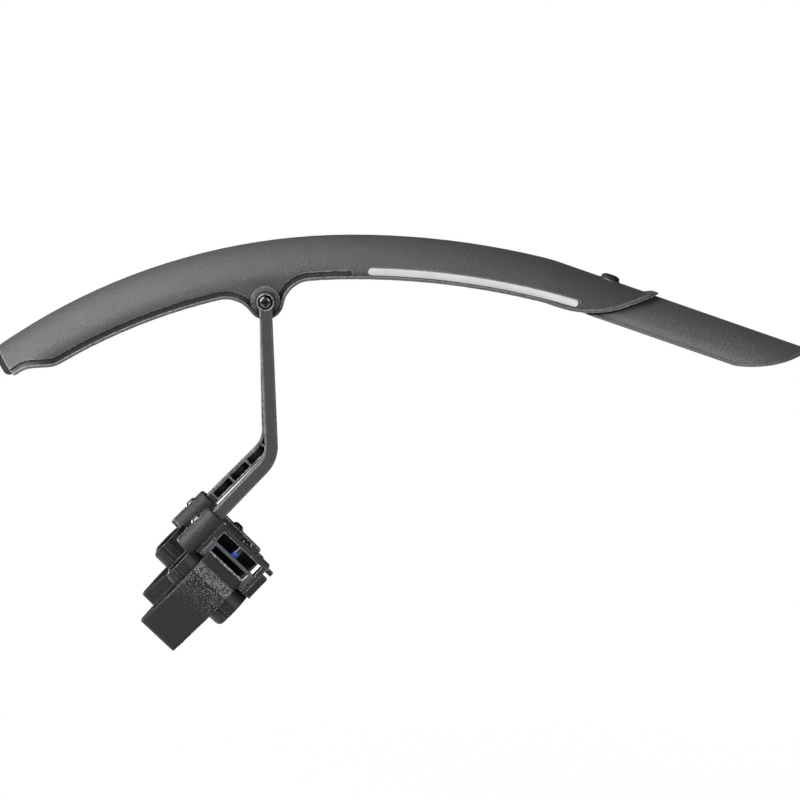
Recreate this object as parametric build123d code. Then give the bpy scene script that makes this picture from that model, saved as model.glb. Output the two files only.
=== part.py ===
from build123d import *
from math import asin, cos, degrees, radians, sin
import os

# A clip-on rear mudguard for a bicycle, in millimetres.
# +X points to the rear, +Z up, and the near side of the bicycle is -Y.
# The pieces are modelled round the struts' pivot axis, which is the Y axis until they are put in place.
# Each bracket and what it carries is modelled in its own axes: u along the strut's end, v along the seat stay
# and w outwards. The far side mirrors the near one.

# Place of the pivot axis in the frame, whose origin is the middle of the whole part
PIVOT_X = -77.8
PIVOT_Z = 81.6

# Crown of the blade seen from the side
APEX_X = 48.5
APEX_Z = 35.0
FRONT_RADIUS = 350.8
FRONT_ANGLE = 34.75
REAR_RADIUS = 460.0
REAR_ANGLE = 13.8
BEND_RADIUS = 100.0
TAIL_SLOPE = 19.3
STRAIGHT_LENGTH = 72.0

# Section of the blade
HALF_WIDTH = 28.0
CROWN_RADIUS = 31.0
SHOULDER_RADIUS = 11.0
BLADE_WALL = 1.8
SECTION_REACH = 50.0

# Lower edge of the blade: depths below the crown, and angles on the front arc
FRONT_DEPTH = 25.8
REAR_DEPTH = 22.9
NOSE_DEPTH = 17.9
NOSE_ANGLE = 33.3
NOSE_OVERRUN = 5.0
NOSE_CORNER = 2.5
CHEEK_ANGLE = 30.8
CHEEK_FILLET = 16.0
END_CORNER = 23.3
END_SLOPE = 15.6
END_FILLET = 62.0
LIP_HEIGHT = 1.7
LIP_PROUD = 2.0
TUCK_END = 4.4
TUCK_DEPTH = 0.8
TRIM_MARGIN = 40.0
TOUCH = 0.01

# Lobe and boss that carry the pivot on each side of the blade
LOBE_RADIUS = 10.4
LOBE_FRONT_FILLET = 17.0
LOBE_REAR_FILLET = 16.0
BOSS_RADIUS = 8.2
BOSS_PROUD = 1.6
BOSS_STEP_RADIUS = 6.6
BOSS_STEP = 0.7
NUT_BOSS_RADIUS = 5.8

# Reflective strip in a pocket on each side
STRIP_DEPTH = 18.8
STRIP_HEIGHT = 4.0
STRIP_START = 1.45
STRIP_END = 16.5
STRIP_OVERRUN = 0.12
STRIP_THICKNESS = 0.5
STRIP_SINK = 0.1
STRIP_CLEARANCE = 0.08

# Rubber bumper in the blade's front end
BUMPER_WALL = 2.4
BUMPER_PROUD = 3.6
BUMPER_LENGTH = 18.0
BUMPER_INSET = 1.5
BUMPER_CORNER = 4.0
BUMPER_CLEARANCE = 0.05

# Tail that slides inside the blade
TAIL_WALL = 1.6
TAIL_CLEARANCE = 0.3
TAIL_DEPTH = 21.4
TAIL_CORNER = 110.0
TAIL_BULGE = 128.5
TAIL_BULGE_DEPTH = 15.2
TAIL_LENGTH = 150.0
TAIL_END_FILLET = 14.0
TAIL_STEP = 0.2
TAIL_GAP = 1.2
TAIL_JOGGLE = 3.0
TAIL_RIM_HEIGHT = 1.5
TAIL_RIM_PROUD = 0.9
TAIL_TRAVEL = 20.0
TAIL_FRONT_MARGIN = 7.0

# Knob and saddle nut that clamp the tail
KNOB_PLACE = 30.3
KNOB_RADIUS = 5.3
KNOB_EDGE = 1.3
KNOB_HEIGHT = 2.6
KNOB_SEAT_RADIUS = 5.8
KNOB_SEAT = 0.3
STUD_RADIUS = 2.0
STUD_CLEARANCE = 0.15
SLOT_CLEARANCE = 0.35
SADDLE_LENGTH = 11.0
SADDLE_WIDTH = 13.0
SADDLE_HEIGHT = 3.6

# Pivot screw and its nut
SCREW_RADIUS = 2.0
SCREW_CLEARANCE = 0.08
HEAD_RADIUS = 3.9
HEAD_EDGE = 1.2
HEAD_HEIGHT = 2.8
HEAD_CLEARANCE = 0.3
HEAD_RECESS = 2.4
HEAD_FLAT = 0.3
HEAD_SHOULDER = 0.75
CROSS_LENGTH = 0.6
CROSS_WIDTH = 0.2
CROSS_DEPTH = 0.45
NUT_FLATS = 7.0
NUT_HEIGHT = 3.2
NUT_CLEARANCE = 0.1

# Struts
STRUT_GAP = 0.3
STRUT_WIDTH = 7.2
STRUT_DEPTH = 8.0
STRUT_DROP = 88.0
STRUT_LEG = 44.5
STRUT_INSERT = 12.0
STRUT_TURN = 46.0
STRUT_BEND = 18.0
STRUT_EDGE = 0.9
EYE_RADIUS = 5.15
EYE_FILLET = 4.0
POCKET_RIM = 1.4
POCKET_FLOOR = 2.0
POCKET_START = 9.0
POCKET_END = 1.3
RIB = 1.2
RIB_PITCH = 14.0
NEAR_SWING = 2.2
FAR_SWING = 0.8
NEAR_SLIDE = 0.0
FAR_SLIDE = 2.2

# Bracket body
SLEEVE_RADIUS = 7.3
SLEEVE_LENGTH = 26.0
SLEEVE_CLEARANCE = 0.3
SLEEVE_HOLE = 18.6
SLEEVE_EDGE = 1.2
PLATE_START = 0.8
PLATE_END = 22.5
PLATE_WIDTH = 41.2
PLATE_FRONT = 5.2
PLATE_BACK = 5.2
PLATE_EDGE = 0.8
WINDOW_START = 4.0
WINDOW_END = 18.8
WINDOW_NEAR = 9.0
WINDOW_FAR = 38.2
FLANGE_START = 7.6
FLANGE_END = 22.4
FLANGE_WIDTH = 4.5
FLANGE_FRONT = 1.5
TOOTH_START = 2.7
TOOTH_END = 5.1

# Seat stay and the ribbed pad on it
STAY_RADIUS = 9.5
STAY_U = 33.4
STAY_W = -5.0
STAY_RELIEF = 0.6
PAD_THICKNESS = 3.0
NEAR_PAD_START = 2.6
FAR_PAD_START = -2.0
PAD_WIDTH = 41.6
PAD_SLIT = 8.0
PAD_CORNER = 4.0
PAD_SEAT = 0.05
PAD_GROOVES = ((48.0, 3.0), (64.0, 11.0), (86.0, 3.0))
PAD_GROOVE_DEPTH = 0.8

# Buckle ring in the window
RING_BAR = 2.4
RING_CHEEK = 3.3
RING_UPPER = 11.6
RING_LOWER = 20.0
RING_START = 7.2
RING_WIDTH = 31.6
RING_PROUD = 1.2
RING_CORNER = 1.6
RING_EDGE = 1.0
RING_CLEARANCE = 0.15

# Hook-and-loop strap
STRAP_WIDTH = 24.4
STRAP_START = 10.8
STRAP_THICKNESS = 1.6
STRAP_SLACK = 0.15
STRAP_FLAP = 31.0
STRAP_FRONT = 9.4
NEAR_STRAP_TIP = 74.2
FAR_STRAP_TIP = 67.0
STRAP_BACK = -18.4
STRAP_FOLD = 3.5
STRAP_BENDS = (3.0, 8.0, 40.0, 4.5, 4.5, 40.0, 20.0, 8.0)

# Screws of the bracket
SMALL_HEAD_RADIUS = 3.6
SMALL_HEAD_EDGE = 0.7
SMALL_HEAD_HEIGHT = 2.1
SET_SCREW_U = 9.8
SET_SCREW_SEAT = 6.3
SET_SCREW_GAP = 0.3
CLAMP_SCREW_V = 22.8
CLAMP_SCREW_W = 1.0
CLAMP_SCREW_LENGTH = 10.2


# Points and planes along the crown

def front_point(angle, depth):
    """A point below the crown's front arc, at an angle forward of the apex."""
    reach = FRONT_RADIUS - depth
    return (APEX_X - reach * sin(radians(angle)), APEX_Z - FRONT_RADIUS + reach * cos(radians(angle)))


def rear_point(angle, depth):
    """A point below the crown's rear arc, at an angle behind the apex."""
    reach = REAR_RADIUS - depth
    return (APEX_X + reach * sin(radians(angle)), APEX_Z - REAR_RADIUS + reach * cos(radians(angle)))


def bend_point(angle, depth):
    """A point below the short bend that follows the rear arc."""
    start = rear_point(REAR_ANGLE, BEND_RADIUS)
    reach = BEND_RADIUS - depth
    return (start[0] + reach * sin(radians(angle)), start[1] + reach * cos(radians(angle)))


def tail_point(along, depth):
    """A point below the straight end of the crown."""
    start = bend_point(TAIL_SLOPE, depth)
    return (start[0] + along * cos(radians(TAIL_SLOPE)), start[1] - along * sin(radians(TAIL_SLOPE)))


def section_plane(point, slope):
    """The plane across the blade at a crown point, where the crown falls to the rear by a slope."""
    ahead = (cos(radians(slope)), 0, -sin(radians(slope)))
    return Plane(origin=(point[0], 0, point[1]), x_dir=(0, 1, 0), z_dir=ahead)


APEX_PLANE = section_plane((APEX_X, APEX_Z), 0)
BEND_PLANE = section_plane(rear_point(REAR_ANGLE, 0), REAR_ANGLE)
TAIL_PLANE = section_plane(tail_point(0, 0), TAIL_SLOPE)


def arc_through(place, start, end, depth):
    """An arc at a constant depth below one of the crown's arcs."""
    return ThreePointArc(place(start, depth), place((start + end) / 2, depth), place(end, depth))


# Sections and sweeps of the blade

def round_corners(face, points, radius):
    """Rounds the corners of a flat face that lie at given points."""
    corners = [face.vertices().sort_by_distance(Vector(*point, 0))[0] for point in points]
    return fillet(corners, radius)


def outline(offset_out):
    """The blade's whole section, filled, grown outwards by an offset from its outer face."""
    half = HALF_WIDTH + offset_out
    radius = CROWN_RADIUS + offset_out
    shoulder = radius * cos(asin(half / radius)) - CROWN_RADIUS
    crown = ThreePointArc((-half, shoulder), (0, offset_out), (half, shoulder))
    sides = Polyline((half, shoulder), (half, -SECTION_REACH), (-half, -SECTION_REACH), (-half, shoulder))
    face = make_face([crown, *sides.edges()])
    return round_corners(face, [(half, shoulder), (-half, shoulder)], SHOULDER_RADIUS + offset_out)


def wall(outside, inside):
    """The section of a wall between two offsets from the blade's outer face, open below."""
    return outline(outside) - outline(inside)


def along_front(section, start, end):
    """A section turned along the front arc between two angles forward of the apex."""
    axis = Axis((APEX_X, 0, APEX_Z - FRONT_RADIUS), (0, -1, 0))
    return revolve(APEX_PLANE * section, axis, end - start).rotate(axis, start)


def along_blade(section):
    """A section carried along the whole crown."""
    rear_axis = Axis((APEX_X, 0, APEX_Z - REAR_RADIUS), (0, 1, 0))
    bend_centre = bend_point(0, BEND_RADIUS)
    bend_axis = Axis((bend_centre[0], 0, bend_centre[1]), (0, 1, 0))
    front = along_front(section, 0, FRONT_ANGLE)
    rear = revolve(APEX_PLANE * section, rear_axis, REAR_ANGLE)
    bend = revolve(BEND_PLANE * section, bend_axis, TAIL_SLOPE - REAR_ANGLE)
    straight = extrude(TAIL_PLANE * section, STRAIGHT_LENGTH)
    return front + rear + bend + straight


def through(profile):
    """A side-view profile carried right through the part from side to side."""
    return extrude(Plane.XZ * profile, HALF_WIDTH * 2, both=True)


# Side view of the blade above its lower edge

def blade_side():
    pivot_angle = degrees(asin(APEX_X / (FRONT_RADIUS - FRONT_DEPTH)))
    corner = tail_point(END_CORNER, REAR_DEPTH)
    end_run = STRAIGHT_LENGTH + TRIM_MARGIN
    end = (corner[0] + end_run * cos(radians(END_SLOPE)), corner[1] + end_run * sin(radians(END_SLOPE)))
    nose_start = front_point(FRONT_ANGLE + NOSE_OVERRUN, NOSE_DEPTH)
    nose = front_point(NOSE_ANGLE, NOSE_DEPTH)
    cheek = front_point(CHEEK_ANGLE, FRONT_DEPTH)
    lobe_low = front_point(pivot_angle, FRONT_DEPTH)
    lobe_high = front_point(pivot_angle, REAR_DEPTH)
    top = APEX_Z + TRIM_MARGIN
    edges = [
        arc_through(front_point, FRONT_ANGLE + NOSE_OVERRUN, NOSE_ANGLE, NOSE_DEPTH),
        Line(nose, cheek),
        arc_through(front_point, CHEEK_ANGLE, pivot_angle, FRONT_DEPTH),
        Line(lobe_low, lobe_high),
        arc_through(front_point, pivot_angle, 0, REAR_DEPTH),
        arc_through(rear_point, 0, REAR_ANGLE, REAR_DEPTH),
        arc_through(bend_point, REAR_ANGLE, TAIL_SLOPE, REAR_DEPTH),
        Line(tail_point(0, REAR_DEPTH), corner),
        *Polyline(corner, end, (end[0], top), (nose_start[0], top), nose_start).edges(),
    ]
    side = make_face(edges)
    side = round_corners(side, [nose, cheek], CHEEK_FILLET)
    side = round_corners(side, [corner], END_FILLET)
    side = side + Circle(LOBE_RADIUS)
    joins = [v for v in side.vertices() if abs(v.center().length - LOBE_RADIUS) < TOUCH]
    front_join, rear_join = sorted(joins, key=lambda v: v.X)
    rear_place = (rear_join.X, rear_join.Y)
    side = fillet([front_join], LOBE_FRONT_FILLET)
    return round_corners(side, [rear_place], LOBE_REAR_FILLET)


def across(radius, start, end):
    """A cylinder on the pivot axis between two distances outwards from the middle plane, on the near side."""
    return extrude(Plane.XZ.offset(start) * Circle(radius), end - start)


# Widths outwards from the middle plane
BOSS_FACE = HALF_WIDTH + BOSS_PROUD + BOSS_STEP
STRUT_IN = BOSS_FACE + STRUT_GAP
STRUT_OUT = STRUT_IN + STRUT_DEPTH
STRUT_MID = (STRUT_IN + STRUT_OUT) / 2
WALL_IN = HALF_WIDTH - BLADE_WALL
NUT_IN = WALL_IN - NUT_HEIGHT


def hexagon(flats):
    return RegularPolygon(flats / 2, 6, major_radius=False)


def strip(grow, overrun=0):
    """The reflective strip's outline in side view, a round-ended band along the rear arc."""
    radius = REAR_RADIUS - STRIP_DEPTH
    centre = (APEX_X, APEX_Z - REAR_RADIUS)
    end = STRIP_END + overrun
    middle = CenterArc(centre, radius, 90 - end, end - STRIP_START)
    return SlotArc(middle, STRIP_HEIGHT + 2 * grow)


def front_end():
    """Side view of the blade, ended at its front edge with a small round at the lower corner."""
    high = front_point(FRONT_ANGLE, -TRIM_MARGIN)
    low = front_point(FRONT_ANGLE, 2 * TRIM_MARGIN)
    top = APEX_Z + TRIM_MARGIN
    behind = make_face(Polyline(high, low, (FRONT_RADIUS, low[1]), (FRONT_RADIUS, top), (high[0], top), high))
    return round_corners(SIDE & behind, [front_point(FRONT_ANGLE, NOSE_DEPTH)], NOSE_CORNER)


def side_half(part):
    """The near half of a piece that crosses the middle plane."""
    return split(part, bisect_by=Plane.XZ, keep=Keep.TOP)


def on_crown(shape):
    """Puts a shape, drawn on XY and standing up in Z, at the knob's place on the crown."""
    place = tail_point(KNOB_PLACE, 0)
    normal = (sin(radians(TAIL_SLOPE)), 0, cos(radians(TAIL_SLOPE)))
    ahead = (cos(radians(TAIL_SLOPE)), 0, -sin(radians(TAIL_SLOPE)))
    return Plane(origin=(place[0], 0, place[1]), x_dir=ahead, z_dir=normal) * shape


SIDE = blade_side()


def make_main_guard():
    lip_band = SIDE - offset(SIDE, -LIP_HEIGHT)
    guard = along_blade(wall(0, -BLADE_WALL)) & through(SIDE)
    guard += along_blade(wall(LIP_PROUD, -BLADE_WALL)) & through(lip_band)
    guard &= through(front_end())
    tuck_band = offset(SIDE, -LIP_HEIGHT) - offset(SIDE, -TUCK_END)
    guard -= along_front(wall(LIP_PROUD, -TUCK_DEPTH), 0, FRONT_ANGLE) & through(tuck_band)
    pocket = along_blade(wall(LIP_PROUD, -STRIP_THICKNESS)) & through(strip(STRIP_CLEARANCE, STRIP_OVERRUN))
    guard -= pocket
    boss = across(BOSS_RADIUS, WALL_IN, HALF_WIDTH + BOSS_PROUD)
    boss += across(BOSS_STEP_RADIUS, WALL_IN, BOSS_FACE)
    boss += across(NUT_BOSS_RADIUS, NUT_IN, WALL_IN)
    hole = across(SCREW_RADIUS + SCREW_CLEARANCE, NUT_IN, BOSS_FACE)
    hole += extrude(Plane.XZ.offset(NUT_IN) * hexagon(NUT_FLATS + 2 * NUT_CLEARANCE), NUT_HEIGHT)
    guard = guard + boss + mirror(boss, Plane.XZ)
    guard = guard - hole - mirror(hole, Plane.XZ)
    guard += on_crown(Pos(0, 0, KNOB_SEAT - BLADE_WALL / 2) * Cylinder(
        KNOB_SEAT_RADIUS, BLADE_WALL, align=(Align.CENTER, Align.CENTER, Align.CENTER)))
    guard &= along_blade(outline(LIP_PROUD) - outline(-BLADE_WALL)) + boss_keep()
    return guard - on_crown(Cylinder(STUD_RADIUS + STUD_CLEARANCE, CROWN_RADIUS))


def boss_keep():
    """The room that the pivot bosses take, outside and inside the blade's wall."""
    keep = across(BOSS_RADIUS, NUT_IN, BOSS_FACE)
    return keep + mirror(keep, Plane.XZ)


def make_reflector():
    layer = along_blade(wall(-STRIP_SINK, -STRIP_THICKNESS)) & through(strip(0))
    return side_half(layer)


def make_front_bumper():
    inside = -BLADE_WALL - BUMPER_CLEARANCE
    start = FRONT_ANGLE - degrees(BUMPER_LENGTH / FRONT_RADIUS)
    end = FRONT_ANGLE + degrees(BUMPER_PROUD / FRONT_RADIUS)
    depth = NOSE_DEPTH - BUMPER_INSET
    corner = front_point(end, depth)
    high = front_point(end, -TRIM_MARGIN)
    rest = Polyline(corner, high, front_point(start, -TRIM_MARGIN), front_point(start, depth))
    side = make_face([arc_through(front_point, start, end, depth), *rest.edges()])
    side = round_corners(side, [corner], BUMPER_CORNER)
    return along_front(wall(inside, inside - BUMPER_WALL), start, end) & through(side)


def tail_side():
    """Side view of the tail: straight below, with an end that sweeps up to the crown."""
    start = tail_point(0, TAIL_DEPTH)
    corner = tail_point(TAIL_CORNER, TAIL_DEPTH)
    tip = tail_point(TAIL_LENGTH, 0)
    top = start[1] + TAIL_LENGTH
    sweep = ThreePointArc(corner, tail_point(TAIL_BULGE, TAIL_BULGE_DEPTH), tip)
    rest = Polyline(tip, (tip[0], top), (start[0], top), start, corner)
    return round_corners(make_face([sweep, *rest.edges()]), [corner], TAIL_END_FILLET)


def blade_end(gap):
    """Side view of all that lies above the blade's rear end, moved outwards by a gap."""
    fall = radians(TAIL_SLOPE)
    rise = radians(END_SLOPE)
    share = gap / (1 + cos(fall + rise))
    corner = tail_point(END_CORNER, REAR_DEPTH)
    corner = (corner[0] + share * (sin(rise) - sin(fall)), corner[1] - share * (cos(rise) + cos(fall)))
    run = STRAIGHT_LENGTH + TRIM_MARGIN
    start = (corner[0] - run * cos(fall), corner[1] + run * sin(fall))
    end = (corner[0] + run * cos(rise), corner[1] + run * sin(rise))
    top = APEX_Z + TRIM_MARGIN
    face = make_face(Polyline(start, corner, end, (end[0], top), (start[0], top), start))
    return round_corners(face, [corner], END_FILLET + gap)


def make_tail_guard():
    sleeve_out = -BLADE_WALL - TAIL_CLEARANCE
    sleeve_in = sleeve_out - TAIL_WALL
    skin_out = -TAIL_STEP
    front = KNOB_PLACE - TAIL_TRAVEL - TAIL_FRONT_MARGIN

    def along_tail(section):
        return extrude(TAIL_PLANE.offset(front) * section, TAIL_LENGTH)

    side = tail_side()
    covered = through(blade_end(TAIL_GAP))
    joggled = through(blade_end(TAIL_GAP + TAIL_JOGGLE))
    rim_band = side - offset(side, -TAIL_RIM_HEIGHT)
    tail = along_tail(wall(sleeve_out, sleeve_in)) & joggled
    tail += along_tail(wall(skin_out, sleeve_in)) & (joggled - covered)
    tail += along_tail(wall(skin_out, skin_out - TAIL_WALL)) - joggled
    tail &= through(side)
    tail += (along_tail(wall(skin_out + TAIL_RIM_PROUD, skin_out - TAIL_WALL)) - covered) & through(rim_band)
    slot = Pos(-TAIL_TRAVEL / 2, 0) * SlotCenterToCenter(TAIL_TRAVEL, 2 * (STUD_RADIUS + SLOT_CLEARANCE))
    return tail - on_crown(extrude(slot, CROWN_RADIUS, both=True))


def make_tail_knob():
    grip = BLADE_WALL + TAIL_CLEARANCE * 2 + TAIL_WALL + SADDLE_HEIGHT
    top = KNOB_SEAT + KNOB_HEIGHT
    rise = KNOB_HEIGHT - KNOB_EDGE
    flat = KNOB_RADIUS * HEAD_FLAT
    dome = ThreePointArc(
        (KNOB_RADIUS, KNOB_SEAT + KNOB_EDGE),
        (KNOB_RADIUS * HEAD_SHOULDER, KNOB_SEAT + KNOB_EDGE + rise * HEAD_SHOULDER),
        (flat, top),
    )
    rest = Polyline((flat, top), (0, top), (0, -grip), (STUD_RADIUS, -grip), (STUD_RADIUS, KNOB_SEAT),
                    (KNOB_RADIUS, KNOB_SEAT), (KNOB_RADIUS, KNOB_SEAT + KNOB_EDGE))
    return on_crown(revolve(Plane.XZ * make_face([dome, *rest.edges()]), Axis.Z))


def make_tail_nut():
    under = -BLADE_WALL - TAIL_CLEARANCE * 2 - TAIL_WALL
    bar = extrude(TAIL_PLANE.offset(KNOB_PLACE - SADDLE_LENGTH / 2) * outline(under), SADDLE_LENGTH)
    room = on_crown(Pos(0, 0, under - SADDLE_HEIGHT) * Box(
        SADDLE_LENGTH * 2, SADDLE_WIDTH, CROWN_RADIUS, align=(Align.CENTER, Align.CENTER, Align.MIN)))
    return (bar & room) - on_crown(Cylinder(STUD_RADIUS, CROWN_RADIUS))


# Screws and nuts

def dome_screw(radius, edge, height, length):
    """A round-headed screw along Z, with its head's underside at the origin and its shank below."""
    flat = radius * HEAD_FLAT
    shoulder = (radius * HEAD_SHOULDER, edge + (height - edge) * HEAD_SHOULDER)
    dome = ThreePointArc((radius, edge), shoulder, (flat, height))
    rest = Polyline((flat, height), (0, height), (0, -length), (SCREW_RADIUS, -length), (SCREW_RADIUS, 0),
                    (radius, 0), (radius, edge))
    screw = revolve(Plane.XZ * make_face([dome, *rest.edges()]), Axis.Z)
    size = (2 * radius * CROSS_LENGTH, 2 * radius * CROSS_WIDTH, 2 * height * CROSS_DEPTH)
    arm = Pos(0, 0, height) * Box(*size)
    return screw - arm - Rot(0, 0, 90) * arm


def make_pivot_screw():
    seat = STRUT_OUT - HEAD_RECESS
    facing_out = Plane(origin=(0, -seat, 0), x_dir=(1, 0, 0), z_dir=(0, -1, 0))
    return facing_out * dome_screw(HEAD_RADIUS, HEAD_EDGE, HEAD_HEIGHT, seat - NUT_IN)


def make_pivot_nut():
    return extrude(Plane.XZ.offset(NUT_IN) * (hexagon(NUT_FLATS) - Circle(SCREW_RADIUS)), NUT_HEIGHT)


# Strut

def strut_corner():
    return (0, -STRUT_DROP)


def leg_point(along):
    """A point on the axis of the strut's lower leg, from the corner of the two axes."""
    corner = strut_corner()
    turn = radians(STRUT_TURN)
    return (corner[0] - along * sin(turn), corner[1] - along * cos(turn))


def strut_path(start, end):
    return FilletPolyline((0, -start), strut_corner(), leg_point(end), radius=STRUT_BEND)


def make_strut():
    bar = trace(strut_path(0, STRUT_LEG + STRUT_INSERT), STRUT_WIDTH) + Circle(EYE_RADIUS)
    necks = [v for v in bar.vertices() if abs(v.center().length - EYE_RADIUS) < TOUCH]
    bar = fillet(necks, EYE_FILLET)
    strut = extrude(Plane.XZ.offset(STRUT_IN) * bar, STRUT_DEPTH)
    strut = fillet(strut.faces().sort_by(Axis.Y)[0].outer_wire().edges(), STRUT_EDGE)
    pocket_path = strut_path(POCKET_START, STRUT_LEG - POCKET_END)
    pocket = trace(pocket_path, STRUT_WIDTH - 2 * POCKET_RIM)
    rib_count = int(pocket_path.length // RIB_PITCH)
    for number in range(1, rib_count + 1):
        place = number / (rib_count + 1)
        tangent = pocket_path % place
        point = pocket_path @ place
        rib = Rectangle(RIB, STRUT_WIDTH)
        pocket -= Pos(point.X, point.Y) * Rot(0, 0, degrees_of(tangent)) * rib
    strut -= extrude(Plane.XZ.offset(STRUT_IN) * pocket, STRUT_DEPTH - POCKET_FLOOR)
    strut -= across(SCREW_RADIUS + SCREW_CLEARANCE, STRUT_IN, STRUT_OUT)
    return strut - across(HEAD_RADIUS + HEAD_CLEARANCE, STRUT_OUT - HEAD_RECESS, STRUT_OUT)


def degrees_of(direction):
    return Vector(1, 0, 0).get_signed_angle(direction, Vector(0, 0, 1))


# Bracket and what it carries, in u, v and w

def bracket_plane():
    top = leg_point(STRUT_LEG)
    turn = radians(STRUT_TURN)
    return Plane(origin=(top[0], -STRUT_MID, top[1]), x_dir=(-sin(turn), 0, -cos(turn)), z_dir=(0, -1, 0))


def block(u_range, v_range, w_range):
    """A box between two values on each of the bracket's axes."""
    spans = [high - low for low, high in (u_range, v_range, w_range)]
    low_corner = Pos(u_range[0], v_range[0], w_range[0])
    return low_corner * Box(*spans, align=(Align.MIN, Align.MIN, Align.MIN))


def along_v(profile, start, width):
    """A profile drawn in u and w, carried along v."""
    plane = Plane(origin=(0, start + width, 0), x_dir=(1, 0, 0), z_dir=(0, -1, 0))
    return extrude(plane * profile, width)


def stay_circle(radius):
    return Pos(STAY_U, STAY_W) * Circle(radius)


PAD_RADIUS = STAY_RADIUS + PAD_THICKNESS
RING_BACK = PLATE_FRONT + RING_PROUD - RING_BAR
RING_MIDDLE = RING_BACK + RING_BAR / 2
ROLL_RADIUS = RING_BAR / 2 + STRAP_SLACK + STRAP_THICKNESS / 2
RING_ENDS = (RING_START, RING_START + RING_WIDTH)
RING_SPAN = (RING_UPPER - RING_BAR / 2, RING_LOWER + RING_BAR / 2)


def make_bracket(pad_start):
    front = PLATE_FRONT
    depth = (-PLATE_BACK, front)
    beyond = (-PLATE_BACK * 2, front * 2)
    plate = block((PLATE_START, PLATE_END), (0, PLATE_WIDTH), depth)
    plate = fillet(plate.faces().sort_by(Axis.Z)[-1].edges().filter_by(Axis.X, reverse=True), PLATE_EDGE)
    sleeve = Pos(SLEEVE_LENGTH / 2, 0, 0) * Rot(0, 90, 0) * Cylinder(SLEEVE_RADIUS, SLEEVE_LENGTH)
    sleeve = fillet(sleeve.edges().filter_by(GeomType.CIRCLE), SLEEVE_EDGE)
    flange_ends = (PLATE_WIDTH - PLATE_EDGE, PLATE_WIDTH + FLANGE_WIDTH)
    flange = block((FLANGE_START, FLANGE_END), flange_ends, (-PLATE_BACK, FLANGE_FRONT))
    tooth = block((TOOTH_START, TOOTH_END), flange_ends, (-PLATE_BACK, FLANGE_FRONT))
    body = plate + sleeve + flange + tooth
    body -= block((WINDOW_START, WINDOW_END), (WINDOW_NEAR, WINDOW_FAR), beyond)
    ring_seat_u = (RING_SPAN[0] - RING_CLEARANCE, RING_SPAN[1] + RING_CLEARANCE)
    ring_seat_v = (RING_ENDS[0] - RING_CLEARANCE, RING_ENDS[1] + RING_CLEARANCE)
    body -= block(ring_seat_u, ring_seat_v, (RING_BACK, front * 2))
    roll_room = ROLL_RADIUS + STRAP_THICKNESS / 2 + STRAP_SLACK
    roll_ends = (STRAP_START - STRAP_SLACK, STRAP_START + STRAP_WIDTH + STRAP_SLACK)
    body -= block((RING_LOWER - roll_room, PLATE_END * 2), roll_ends, (RING_MIDDLE - roll_room, front * 2))
    body -= along_v(stay_circle(PAD_RADIUS + PAD_SEAT), pad_start, PLATE_WIDTH * 2)
    body -= along_v(stay_circle(STAY_RADIUS + STAY_RELIEF), -PLATE_WIDTH, PLATE_WIDTH * 3)
    half_width = STRUT_WIDTH / 2 + SLEEVE_CLEARANCE
    half_depth = STRUT_DEPTH / 2 + SLEEVE_CLEARANCE
    body -= block((-SLEEVE_HOLE, SLEEVE_HOLE), (-half_width, half_width), (-half_depth, half_depth))
    body -= set_screw_plane() * Cylinder(
        SMALL_HEAD_RADIUS + HEAD_CLEARANCE, SLEEVE_RADIUS, align=(Align.CENTER, Align.CENTER, Align.MIN))
    body -= set_screw_plane() * Cylinder(SCREW_RADIUS, SLEEVE_RADIUS)
    return body - clamp_screw_plane() * Cylinder(SCREW_RADIUS, WINDOW_START * 3)


def set_screw_plane():
    return Plane(origin=(SET_SCREW_U, -SET_SCREW_SEAT, 0), x_dir=(1, 0, 0), z_dir=(0, -1, 0))


def clamp_screw_plane():
    return Plane(origin=(PLATE_START, CLAMP_SCREW_V, CLAMP_SCREW_W), x_dir=(0, 1, 0), z_dir=(-1, 0, 0))


def make_set_screw():
    length = SET_SCREW_SEAT - STRUT_WIDTH / 2 - SET_SCREW_GAP
    return set_screw_plane() * dome_screw(SMALL_HEAD_RADIUS, SMALL_HEAD_EDGE, SMALL_HEAD_HEIGHT, length)


def make_clamp_screw():
    screw = dome_screw(SMALL_HEAD_RADIUS, SMALL_HEAD_EDGE, SMALL_HEAD_HEIGHT, CLAMP_SCREW_LENGTH)
    return clamp_screw_plane() * screw


def make_pad(start):
    """A split rubber sleeve round the stay, ribbed along its front and back."""
    centre = (STAY_U, STAY_W)
    middle = CenterArc(centre, STAY_RADIUS + PAD_THICKNESS / 2, PAD_SLIT / 2, 360 - PAD_SLIT)
    pad = along_v(trace(middle, PAD_THICKNESS), start, PAD_WIDTH)
    for angle, size in PAD_GROOVES:
        for first in (angle, 360 - angle - size):
            groove = trace(CenterArc(centre, PAD_RADIUS, first, size), 2 * PAD_GROOVE_DEPTH)
            pad -= along_v(groove, start - PAD_CORNER, PAD_WIDTH + 2 * PAD_CORNER)
    reach = 2 * PAD_RADIUS + 2 * PAD_CORNER
    shape = Pos(STAY_U + PAD_RADIUS - reach / 2, start + PAD_WIDTH / 2) * RectangleRounded(
        reach, PAD_WIDTH, PAD_CORNER)
    return pad & extrude(shape, reach * 2, both=True)


def make_buckle():
    length = RING_SPAN[1] - RING_SPAN[0]
    centre = ((RING_SPAN[0] + RING_SPAN[1]) / 2, (RING_ENDS[0] + RING_ENDS[1]) / 2)
    hole = Rectangle(length - 2 * RING_BAR, RING_WIDTH - 2 * RING_CHEEK)
    ring = RectangleRounded(length, RING_WIDTH, RING_CORNER) - hole
    ring = extrude(Pos(*centre) * ring, RING_BAR)
    bars = ring.edges().filter_by(Axis.Y)
    return Pos(0, 0, RING_BACK) * fillet(bars, RING_EDGE)


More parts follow.
